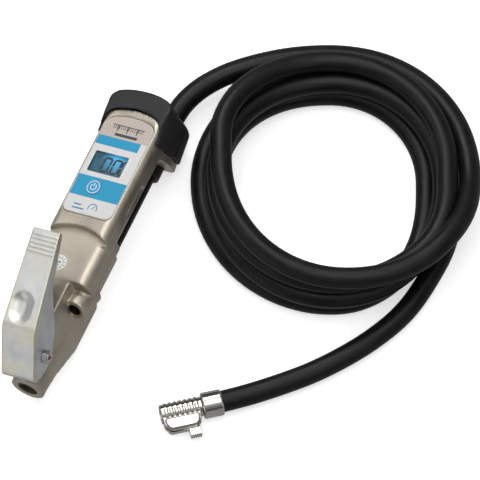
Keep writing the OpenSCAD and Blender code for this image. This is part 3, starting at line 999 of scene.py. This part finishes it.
@dataclass
class Studio:
    """A pale bench, soft light and the camera, which looks down on the tool from its foot.

    Attributes:
        azimuth: the camera's turn about the vertical, in degrees.
        elevation: its height above the horizon, in degrees.
        target: the point that it looks at, in metres.
        distance: how far it is from that point, in metres.
        view_width: the width that the picture shows there, in metres.
        sensor: the width of its sensor, in mm.
        surround: the surround's strength.
        bench_glow: the strength of the bench's own light.
        bench_gap: how far the bench lies below the tool, in metres.
    """

    azimuth: float = 25.1
    elevation: float = 68.0
    target: Point = (0.0897, 0.0480, 0.025)
    distance: float = 6.0
    view_width: float = 0.3168
    sensor: float = 36.0
    surround: float = 0.9
    bench_glow: float = 0.56
    bench_gap: float = 0.0003

    def camera(self) -> None:
        """Places the camera on its sphere about the target, with a long lens."""
        turn, lift = math.radians(self.azimuth), math.radians(self.elevation)
        back = Vector((math.sin(turn) * math.cos(lift), -math.cos(turn) * math.cos(lift),
                       math.sin(lift)))
        lens = bpy.data.cameras.new("camera")
        lens.sensor_width = self.sensor
        lens.lens = lens.sensor_width * self.distance / self.view_width
        lens.clip_end = 20.0
        camera = bpy.data.objects.new("camera", lens)
        camera.location = Vector(self.target) + back * self.distance
        camera.rotation_euler = back.to_track_quat("Z", "Y").to_euler()
        bpy.context.scene.collection.objects.link(camera)
        bpy.context.scene.camera = camera

    def lamp(self, name: str, place: Point, size: tuple[float, float], power: float,
             tone: Colour = (1.0, 1.0, 1.0)) -> None:
        """Adds one rectangular soft light that faces the tool.

        Args:
            name: the light's name.
            place: where it hangs, in metres.
            size: its width and height, in metres.
            power: its power in watts.
            tone: its colour.
        """
        light = bpy.data.lights.new(name, "AREA")
        light.shape = "RECTANGLE"
        light.size, light.size_y = size
        light.energy = power
        light.color = tone
        lamp = bpy.data.objects.new(name, light)
        lamp.location = place
        aim = Vector(place) - Vector((self.target[0], self.target[1], 0.0))
        lamp.rotation_euler = aim.to_track_quat("Z", "Y").to_euler()
        bpy.context.scene.collection.objects.link(lamp)

    def sky(self) -> None:
        """Sets an even white surround that darkens below the horizon and in one soft band."""
        world = bpy.data.worlds.new("studio")
        world.use_nodes = True
        tree = world.node_tree
        tree.nodes.clear()
        out = tree.nodes.new("ShaderNodeOutputWorld")
        glow = tree.nodes.new("ShaderNodeBackground")
        coords = tree.nodes.new("ShaderNodeTexCoord")
        split = tree.nodes.new("ShaderNodeSeparateXYZ")
        ramp = tree.nodes.new("ShaderNodeValToRGB")
        stops = ((0.0, 0.42), (0.18, 0.34), (0.42, 0.05), (0.50, 0.04), (0.56, 0.42), (0.66, 0.14),
                 (0.80, 0.50), (1.0, 0.80))
        elements = ramp.color_ramp.elements
        while len(elements) < len(stops):
            elements.new(0.5)
        for element, (position, level) in zip(elements, stops):
            element.position = position
            element.color = (level, level, level, 1.0)
        tree.links.new(coords.outputs["Generated"], split.inputs[0])
        tree.links.new(split.outputs[2], ramp.inputs[0])
        tree.links.new(ramp.outputs[0], glow.inputs["Color"])
        tree.links.new(glow.outputs[0], out.inputs[0])
        glow.inputs["Strength"].default_value = self.surround
        bpy.context.scene.world = world

    def bench(self) -> None:
        """Lays a wide pale floor just under the tool."""
        side = np.linspace(-6.0, 6.0, 5)
        grid = np.stack(np.meshgrid(side, side, indexing="ij"), axis=-1)
        level = np.full(grid.shape[:2] + (1,), CAD_BOX[0][2] - self.bench_gap)
        points, faces = sheet(np.concatenate((grid, level), axis=-1))
        mesh = bpy.data.meshes.new("bench")
        mesh.from_pydata(points.tolist(), [], [face[::-1] for face in faces])
        floor = bpy.data.objects.new("bench", mesh)
        bpy.context.scene.collection.objects.link(floor)
        ink = Ink("bench_paper")
        fibre = ink.noise(ink.here(), 30.0, 3.0)
        mesh.materials.append(ink.surface(
            Base_Color=ink.mix(fibre, (0.93, 0.93, 0.93), (0.95, 0.95, 0.95)), Roughness=0.9,
            Emission_Color=(1.0, 1.0, 1.0), Emission_Strength=self.bench_glow))
        # The tool's own shading takes its light from the surround, not from the bright bench
        floor.visible_diffuse = False
        floor.visible_glossy = False

    def build(self) -> None:
        """Sets up camera, lights and bench."""
        scene = bpy.context.scene
        scene.view_settings.view_transform = "Standard"
        self.camera()
        self.sky()
        self.bench()
        self.lamp("key_light", (-0.9, 0.9, 1.7), (1.1, 0.8), 17.0)
        self.lamp("fill_light", (1.5, -0.6, 1.4), (0.4, 0.8), 2.5)
        self.lamp("top_light", (0.2, 0.1, 2.4), (1.6, 1.3), 15.0)
        self.lamp("trigger_light", (-1.30, -0.45, 1.05), (0.9, 0.7), 2.6)
        self.lamp("low_light", (-0.7, -1.4, 0.42), (1.0, 0.5), 2.2, (1.0, 0.98, 0.93))


# ---------------------------------------------------------------- hose


@dataclass
class Hose:
    """The air hose: straight through the tool, about four and a third turns of coil, a free end.

    The coil's knots are (turn in degrees, radius in mm, height in mm): the turns wind clockwise
    from above, and lie on and beside each other. The lead and the tail are points on the bench,
    and the stations are places along the straight stretch inside the tool, all in mm.
    """

    diameter: float = 14.5
    centre: tuple[float, float] = (125.9, 118.3)
    zero_turn: float = 205.1
    step_turn: float = 15.0
    stations: tuple[float, ...] = (92.5, 130.0, 170.0, 200.0, 216.0)
    axis_z: float = -43.0
    lead: tuple[Point, ...] = ((12.4, 123, 15.2), (17.2, 136.5, 15.8), (26.3, 150.5, 16.7),
                                (47.9, 171.5, 18))
    tail: tuple[Point, ...] = ((210.8, 112.1, 7.4), (211.1, 82.6, 7.4), (206.6, 53.6, 7.4),
                                (194.8, 26.1, 7.4), (182.3, 6.1, 7.4), (168.7, -11.6, 7.4),
                                (154.1, -27.2, 7.4), (139, -41.9, 7.6))
    knots: tuple[Point, ...] = (
        (81.5, 87.7, 18), (90, 86.7, 18), (180, 89, 29.5), (198, 92, 38), (215, 92, 46),
        (270, 85.2, 50), (360, 75, 46.5), (390, 80.6, 43.5), (450, 77.1, 31),
        (540, 74.4, 35.2), (578, 82, 35), (630, 83.1, 36), (720, 77.2, 33), (810, 65.9, 21.4),
        (900, 71.5, 21), (990, 88.2, 21.75), (1080, 79.2, 18.6), (1170, 63.2, 7.25),
        (1260, 61.2, 7.25), (1350, 86.7, 7.25), (1440, 88.3, 7.25), (1530, 78.3, 7.25),
        (1620, 76.1, 7.25), (1649, 84.7, 7.25))

    def monotone(self, x: Array, y: Array, at: Array) -> Array:
        """Cubic pieces through (x, y) that never overshoot: each knot's slope is the harmonic
        mean of its two sides, or zero at a peak.

        Args:
            x: the knots' places.
            y: the knots' values.
            at: where the curve is wanted.

        Returns:
            The curve's values.
        """
        width = np.diff(x)
        slope = np.diff(y) / width
        both = slope[:-1] * slope[1:]
        total = np.where(slope[:-1] + slope[1:] == 0, 1, slope[:-1] + slope[1:])
        middle = np.where(both > 0, 2 * both / total, 0)
        tangent = np.concatenate((slope[:1], middle, slope[-1:]))
        return hermite(x, y, tangent, at)

    def coil(self) -> Array:
        """The coil's points: a circle whose radius and height follow the knots."""
        knots = np.array(self.knots, float)
        turn = np.arange(knots[0, 0], knots[-1, 0], self.step_turn)
        radius = self.monotone(knots[:, 0], knots[:, 1], turn)
        height = self.monotone(knots[:, 0], knots[:, 2], turn)
        angle = np.radians(self.zero_turn - turn)
        return np.stack((self.centre[0] + radius * np.cos(angle),
                         self.centre[1] + radius * np.sin(angle), height), axis=-1)

    def route(self, step: float = 5.0) -> Array:
        """The whole centreline at even steps, in metres."""
        inside = np.array([(0.0, y, self.axis_z) for y in self.stations])
        end = CONNECTOR.put(np.array(((9.0, 0.0, 0.0),)))
        points = np.concatenate((TOOL.put(inside), np.array(self.lead) * MM,
                                 self.coil() * MM, np.array(self.tail) * MM, end))
        reach = np.linalg.norm(np.diff(points, axis=0), axis=1)
        run = np.concatenate(((0.0,), np.cumsum(reach)))
        count = int(run[-1] / (step * MM))
        at = np.linspace(0.0, run[-1], count)
        tangent = np.gradient(points, run, axis=0)
        return np.stack([hermite(run, points[:, k], tangent[:, k], at) for k in range(3)], axis=-1)

    def build(self, finishes: Finishes, on_it: list[bpy.types.Object]) -> bpy.types.Object:
        """Args:
            finishes: the finishes.
            on_it: the pieces on the hose's far end; not used.

        Returns:
            The hose.
        """
        route = self.route()
        curve = bpy.data.curves.new("air_hose", "CURVE")
        curve.dimensions = "3D"
        line = curve.splines.new("POLY")
        line.points.add(len(route) - 1)
        line.points.foreach_set("co", np.column_stack((route, np.ones(len(route)))).ravel())
        line.use_smooth = True
        curve.bevel_depth = self.diameter / 2 * MM
        curve.bevel_resolution = 10
        curve.use_fill_caps = True
        curve.materials.append(finishes.hose)
        hose = bpy.data.objects.new("air_hose", curve)
        bpy.context.scene.collection.objects.link(hose)
        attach(hose, Body.TOOL.value)
        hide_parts("hose_lead", "hose_coil", "hose_tail")
        exit_point = TOOL.put(np.array((0.0, 112.0, self.axis_z)))
        return hose


def hermite(x: Array, y: Array, tangent: Array, at: Array) -> Array:
    """Cubic pieces through (x, y) with the given slopes at the knots.

    Args:
        x: the knots' places.
        y: the knots' values.
        tangent: the knots' slopes.
        at: where the curve is wanted.

    Returns:
        The curve's values.
    """
    piece = np.clip(np.searchsorted(x, at, side="right") - 1, 0, len(x) - 2)
    width = x[piece + 1] - x[piece]
    u = (at - x[piece]) / width
    return ((1 + 2 * u) * (1 - u) ** 2 * y[piece] + u * (1 - u) ** 2 * width * tangent[piece]
            + u * u * (3 - 2 * u) * y[piece + 1] + u * u * (u - 1) * width * tangent[piece + 1])


# ---------------------------------------------------------------- connector


@dataclass
class Connector:
    """The clip-on connector: plain ferrule, barrel with its keel and cheeks, latch and tab."""

    ferrule_length: float = 13.5
    ferrule_radius: float = 8.65
    cheek_centre: tuple[float, float] = (28.1, 9.35)
    cheek_half: tuple[float, float] = (10.6, 3.35)

    def ferrule(self, finishes: Finishes) -> bpy.types.Object:
        """The pressed-on sleeve: a plain turned tube with rolled ends."""
        x = np.linspace(0.0, self.ferrule_length, 40)
        ends = 0.8 * (np.exp(-(x / 0.45) ** 2) + np.exp(-((self.ferrule_length - x) / 0.5) ** 2))
        outer = self.ferrule_radius + 0.15 - ends
        end = self.ferrule_length
        bore = [(end, 6.6), (end - 1.5, 6.4), (end - 1.6, 3.62), (9.5, 3.62), (9.4, 7.27),
                (0.0, 7.27)]
        profile = list(zip(x, outer)) + bore
        piece = new_piece("ferrule", loft(turned(profile, 72), ring=True), CONNECTOR, Body.TOOL)
        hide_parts("hose_ferrule")
        return dress(piece, finishes.chrome)

    def cheeks(self, finishes: Finishes) -> list[bpy.types.Object]:
        """The bright plate on each side of the keel, and a painted shadow line round it: a larger, lower dark
        plate.
        """
        outline = rounded_box(self.cheek_half, 2.4, 8)
        outline[:, 0] *= 1 - 0.035 * outline[:, 1]
        flat = np.array((1.0, 1.0, -1.0))
        pieces = []
        # The second piece paints the shadow round each plate: a dark plate 0.75 mm wider, set under the bright one
        for name, extra, top, finish in (("cheek_plates", 0.0, 5.78, finishes.satin),
                                         ("cheek_shadow_lines", 0.75, 5.08, finishes.oxide_and_shade)):
            grown = outline * (1 + extra / np.array(self.cheek_half)) + np.array(self.cheek_centre)
            loops = pillow(grown, 4.6, top, 0.3 if extra == 0.0 else 0.03)
            shells = [loft(loops), loft(loops[::-1] * flat)]
            pieces.append(dress(new_piece(name, join(shells), CONNECTOR, Body.TOOL),
                                finish))
        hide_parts("connector_cheeks")
        return pieces

    def build(self, finishes: Finishes) -> list[bpy.types.Object]:
        """Makes every piece of the connector.

        Args:
            finishes: the finishes.

        Returns:
            The pieces on the hose's end.
        """
        body = dress(softened("connector_shell", "connector_body", CONNECTOR, Body.TOOL,
                              0.22, 5), finishes.chrome)
        latch = dress(softened("latch", "clip_latch", CONNECTOR, Body.CLIP, 0.16, 4),
                      finishes.chrome)
        kept = {"connector_seal": finishes.black, "depressor_pin": finishes.brass,
                "clip_pin": finishes.steel}
        coil = Spring("clip_spring", CONNECTOR, "clip_hinge", foot=(20.4, 3.5, 0.0),
                      top=(20.4, 11.7, 0.0), travel=0.75)
        for node, finish in kept.items():
            dress(frame["nodes"][node], finish)
        return [self.ferrule(finishes), body, latch, *self.cheeks(finishes),
                dress(coil.build("latch_spring"), finishes.steel),
                *(frame["nodes"][n] for n in kept)]


# ---------------------------------------------------------------- gauge face


@dataclass
class GaugeFace:
    """The gauge's face: label, window frame, display with its digits, key and sticker."""

    window: tuple[float, float] = (-2.0, 155.7)
    window_size: tuple[float, float] = (26.0, 15.6)
    key: tuple[float, float] = (-3.6, 137.0)
    key_radius: float = 5.1
    digit_height: float = 10.2
    digit_width: float = 5.2
    stroke: float = 1.5

    def bezel(self, finishes: Finishes) -> None:
        """The window's silver frame: a rectangular ring whose section is a low rounded roof."""
        levels = ((0.0, -0.55), (0.1, -0.28), (0.55, -0.10), (1.15, -0.12), (1.6, -0.32),
                  (1.7, -0.6))
        half = np.array(self.window_size) / 2
        loops = []
        for grow, height in levels:
            outline = rounded_box(tuple(half + grow), 1.0 + grow) + np.array(self.window)
            loops.append(np.column_stack((outline, np.full(len(outline), height))))
        piece = new_piece("window_frame", loft(np.array(loops), ring=True), TOOL, Body.TOOL)
        dress(piece, finishes.panel)

    def segment(self, start: tuple[float, float], end: tuple[float, float],
                level: float) -> tuple[Array, list]:
        """One bar of a digit: a thin hexagonal slab between two points.

        Args:
            start: one end, in mm on the face.
            end: the other end.
            level: its top's height.

        Returns:
            The slab's vertices and faces.
        """
        first, last = np.array(start), np.array(end)
        along = (last - first) / np.linalg.norm(last - first)
        side = np.array((-along[1], along[0])) * self.stroke / 2
        tip = along * self.stroke / 2
        outline = np.array((first, first + tip - side, last - tip - side, last,
                            last - tip + side, first + tip + side))
        return loft(pillow(outline, level - 0.06, level, 0.02, 1))

    def digits(self, finishes: Finishes) -> None:
        """The reading, three noughts with a point, and a small bar mark beside it."""
        level, slant = -2.70, 0.06
        w, h = self.digit_width, self.digit_height
        corners = {"a": ((0, h), (w, h)), "b": ((w, h), (w, h / 2)), "c": ((w, h / 2), (w, 0)),
                   "d": ((w, 0), (0, 0)), "e": ((0, 0), (0, h / 2)), "f": ((0, h / 2), (0, h))}
        shells = []
        foot = self.window[1] - 5.0
        for left in (-7.4, 0.4, 7.0):
            for start, end in corners.values():
                points = [(left + p[0] + slant * p[1], foot + p[1]) for p in (start, end)]
                shells.append(self.segment(points[0], points[1], level))
        dot = rounded_box((0.62, 0.62), 0.3, 3) + np.array((-0.95, foot + 0.2))
        shells.append(loft(pillow(dot, level - 0.06, level, 0.02, 1)))
        for number, width in enumerate((2.2, 1.5)):
            mark = rounded_box((width / 2, 0.28), 0.1, 2)
            mark = mark + np.array((-12.2, foot + 10.4 - 0.9 * number))
            shells.append(loft(pillow(mark, level - 0.06, level, 0.02, 1)))
        dress(new_piece("reading", join(shells), TOOL, Body.TOOL), finishes.segment)

    def display(self, finishes: Finishes) -> None:
        """The lit face under the window, a slab with a softly rounded top edge."""
        half = (14.3, 9.8)
        outline = rounded_box(half, 0.8) + np.array(self.window)
        piece = new_piece("display_face", loft(pillow(outline, -5.3, -2.82, 0.2)), TOOL, Body.TOOL)
        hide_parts("lcd_panel")
        dress(piece, finishes.display)

    def pane(self, finishes: Finishes) -> None:
        """The clear window: a thin pane that domes by a tenth of a millimetre."""
        u = np.linspace(-1, 1, 17)
        across, along = np.meshgrid(u, u, indexing="ij")
        half = np.array(self.window_size) / 2 + 0.05
        dome = -0.72 + 0.1 * (1 - across ** 2) * (1 - along ** 2)
        x = self.window[0] + half[0] * across
        y = self.window[1] + half[1] * along
        piece = new_piece("window_pane", sheet(np.stack((x, y, dome), axis=-1)), TOOL, Body.TOOL)
        thick = piece.modifiers.new("thickness", "SOLIDIFY")
        thick.thickness = 0.0008
        thick.offset = -1.0
        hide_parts("lcd_window")
        dress(piece, finishes.window)

    def label(self, finishes: Finishes) -> None:
        """The label's film: the model's own outline and cut-outs, with the print on it."""
        piece = softened("label_film", "face_label", TOOL, Body.TOOL, 0.12, 1)
        dress(piece, finishes.label)

    def power_key(self, finishes: Finishes) -> None:
        """The round key: a shallow dome in a white ring, with the usual on-off sign."""
        radii = np.linspace(0.05, self.key_radius - 0.15, 14)
        dome = 0.42 - 0.30 * (radii / self.key_radius) ** 2
        profile = [(z, r) for z, r in zip(dome, radii)]
        profile += [(0.02, self.key_radius - 0.02), (-2.4, self.key_radius), (-2.4, 1.6),
                    (-5.2, 1.6)]
        loops = turned(profile, 64)
        loops = loops[..., (1, 2, 0)] + np.array((*self.key, 0.0))
        cap = new_piece("key_cap", loft(loops), TOOL, Body.KEY)
        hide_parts("power_key")
        dress(cap, finishes.key)
        ring = turned([(0.10, 4.9), (0.24, 4.78), (0.26, 4.45), (0.22, 4.32), (0.10, 4.4)], 64)
        ring = ring[..., (1, 2, 0)] + np.array((*self.key, 0.0))
        shells = [loft(ring, ring=True)]
        turn = np.radians(np.linspace(125, 415, 40))
        ray = np.stack((np.cos(turn), np.sin(turn)), axis=-1)
        arc = np.concatenate((ray * 2.35, ray[::-1] * 1.8)) + np.array(self.key)
        bar = rounded_box((0.27, 1.2), 0.2, 3) + np.array((self.key[0], self.key[1] + 1.75))
        for outline, top in ((arc, 0.46), (bar, 0.47)):
            shells.append(loft(pillow(outline, 0.2, top, 0.03, 1)))
        dress(new_piece("key_marks", join(shells), TOOL, Body.KEY), finishes.white)

    def build(self, finishes: Finishes) -> None:
        """Makes the face's pieces."""
        self.label(finishes)
        self.bezel(finishes)
        self.display(finishes)
        self.digits(finishes)
        self.pane(finishes)
        self.power_key(finishes)
        dress(softened("sticker", "date_sticker", TOOL, Body.TOOL, 0.07, 0),
              finishes.paper)
        dress(frame["nodes"]["face_plate"], finishes.panel)


# ---------------------------------------------------------------- tool body


@dataclass
class ToolBody:
    """The die-cast body with its cap, grommet, thread, exhaust sleeve and the parts it holds."""

    inlet_z: float = -34.4
    thread_pitch: float = 1.337
    thread_depth: float = 0.65
    thread_span: tuple[float, float] = (0.4, 11.6)
    thread_fade: float = 0.8
    thread_bore: float = 6.56
    sleeve_radius: float = 6.9
    exhaust_root: Point = (13.0, 70.0, -24.8)
    exhaust_tilt: float = 15.0
    exhaust_radius: float = 4.5
    exhaust_length: float = 13.0

    def castings(self, finishes: Finishes) -> None:
        """The body and the cap, with melted edges."""
        dress(softened("die_casting", "body_casting", TOOL, Body.TOOL, 0.75, 7),
              finishes.cast)
        dress(softened("end_cap", "rubber_cap", TOOL, Body.TOOL, 0.75, 18),
              finishes.cap)
        dress(softened("grommet", "hose_grommet", TOOL, Body.TOOL, 0.4, 3),
              finishes.black)

    def inlet_thread(self, finishes: Finishes) -> None:
        """The thread in the air inlet: a sleeve whose inner radius follows a triangle wave
        that climbs one pitch per turn."""
        start, end = self.thread_span
        along = np.linspace(start, end, 130)[:, None]
        turn = np.linspace(0, 2 * math.pi, 96, endpoint=False)[None, :]
        phase = (along / self.thread_pitch + turn / (2 * math.pi)) % 1.0
        crest = 1 - np.abs(2 * phase - 1)
        fade = np.clip(np.minimum(along - start, end - along) / self.thread_fade, 0, 1)
        inner = self.thread_bore - self.thread_depth * crest * fade
        outer = np.full_like(inner, self.sleeve_radius)
        inside, outside = (np.stack((radius * np.cos(turn), np.broadcast_to(along, radius.shape),
                                     radius * np.sin(turn) + self.inlet_z), axis=-1)
                           for radius in (inner, outer))
        loops = np.concatenate((inside, outside[::-1]))
        dress(new_piece("inlet_thread", loft(loops, ring=True), TOOL, Body.TOOL),
              finishes.oxide_and_shade)

    def exhaust_shade_sleeve(self, finishes: Finishes) -> None:
        """Painted shade in the exhaust bore: a dark turned sleeve with a lip, tilted up to the face."""
        start, end = -self.exhaust_length + 0.25, -0.3
        bore = self.exhaust_radius
        profile = [(start, bore + 0.12), (start - 0.1, bore - 0.1), (start + 0.1, bore - 0.4),
                   (end, bore - 0.5), (end, bore + 0.12)]
        loops = turned(profile, 56)[..., (1, 0, 2)]
        lean = math.radians(self.exhaust_tilt)
        y, z = loops[..., 1].copy(), loops[..., 2].copy()
        loops[..., 1] = y * math.cos(lean) + z * math.sin(lean)
        loops[..., 2] = z * math.cos(lean) - y * math.sin(lean)
        loops += np.array(self.exhaust_root)
        dress(new_piece("exhaust_shade_sleeve", loft(loops, ring=True), TOOL, Body.TOOL),
              finishes.oxide_and_shade)

    def build(self, finishes: Finishes) -> None:
        """Makes the body's pieces and dresses the nodes that stay."""
        self.castings(finishes)
        self.inlet_thread(finishes)
        self.exhaust_shade_sleeve(finishes)
        kept = {"circuit_board": finishes.board, "pressure_sensor": finishes.steel,
                "sensor_tube": finishes.brass, "battery_tray": finishes.black_plastic,
                "batteries": finishes.sleeve, "battery_contacts": finishes.satin,
                "battery_cover": finishes.black_plastic, "cover_screws": finishes.steel,
                "hose_adaptor": finishes.brass, "inlet_filter": finishes.sinter,
                "filter_clip": finishes.steel, "valve_nut": finishes.brass,
                "valve_plunger": finishes.brass, "plunger_seal": finishes.black,
                "exhaust_silencer": finishes.sinter}
        for node, finish in kept.items():
            dress(frame["nodes"][node], finish)
        coil = Spring("valve_spring", TOOL, "plunger_slide", foot=(0.0, 37.5, -37.2),
                      top=(0.0, 37.5, -27.1), travel=4.5)
        dress(coil.build("return_spring"), finishes.steel)


@dataclass
class Trigger:
    """The pressed-steel trigger with its bolt and nut."""

    bolt_end: Point = (16.9, 18.0, -15.0)

    def seal_dot(self, finishes: Finishes) -> None:
        """The dab of paint on the bolt's end, which shows that nobody has turned it."""
        ring = pillow(rounded_box((1.45, 1.3), 1.25, 8), -0.1, 0.35, 0.3)
        facing = ring[..., (2, 0, 1)] + np.array(self.bolt_end)
        dress(new_piece("seal_dot", loft(facing), TOOL, Body.TOOL), finishes.seal_paint)

    def build(self, finishes: Finishes) -> None:
        """Makes the trigger and dresses its bolt and nut."""
        dress(softened("trigger_plate", "trigger_lever", TOOL, Body.TRIGGER,
                       0.45, 11), finishes.zinc)
        dress(softened("pivot_bolt", "lever_bolt", TOOL, Body.TOOL, 0.3, 2),
              finishes.steel)
        dress(softened("pivot_nut", "lever_nut", TOOL, Body.TOOL, 0.25, 2),
              finishes.steel)
        self.seal_dot(finishes)


def main() -> None:
    """Builds the scene: camera and hose first, then the tool from the inside out."""
    logging.basicConfig(level=logging.INFO, format="%(name)s %(message)s")
    Studio().build()
    finishes = Finishes()
    Hose().build(finishes, Connector().build(finishes))
    ToolBody().build(finishes)
    Trigger().build(finishes)
    GaugeFace().build(finishes)


if __name__ == "__main__":
    main()
